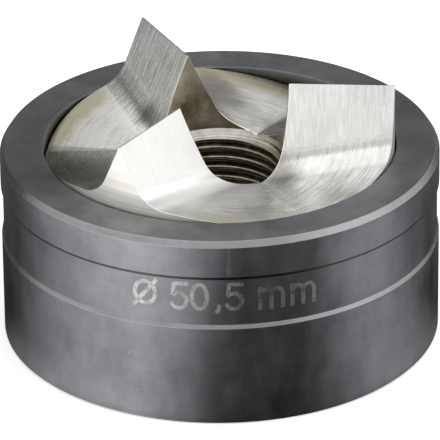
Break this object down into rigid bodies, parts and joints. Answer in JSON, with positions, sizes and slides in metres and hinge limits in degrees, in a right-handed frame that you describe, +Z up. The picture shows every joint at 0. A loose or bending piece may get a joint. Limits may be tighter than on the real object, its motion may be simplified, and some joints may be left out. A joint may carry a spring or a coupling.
{
  "type": "knockout punch",
  "caption": "Sheet-metal knockout punch with radial ridged teeth and a threaded draw hole, seated in its round cup-shaped die.",
  "frame": {"origin": "centre of the die's flat underside, on the tool axis", "axes": "+Z up along the tool axis from the die's underside to the punch's teeth; +X along the ridge of the first tooth"},
  "size_m": [0.0635, 0.0634, 0.0384],
  "materials": {
    "die": "black oxide, satin",
    "punch": "ground bright"
  },
  "bodies": {
    "die": {"die": "die"},
    "punch": {"punch": "punch"}
  },
  "joints": [
    {"name": "punch_slide", "type": "slide", "parent": "die", "child": "punch", "axis": [0, 0, 1], "range_m": [0, 0.022]}
  ]
}
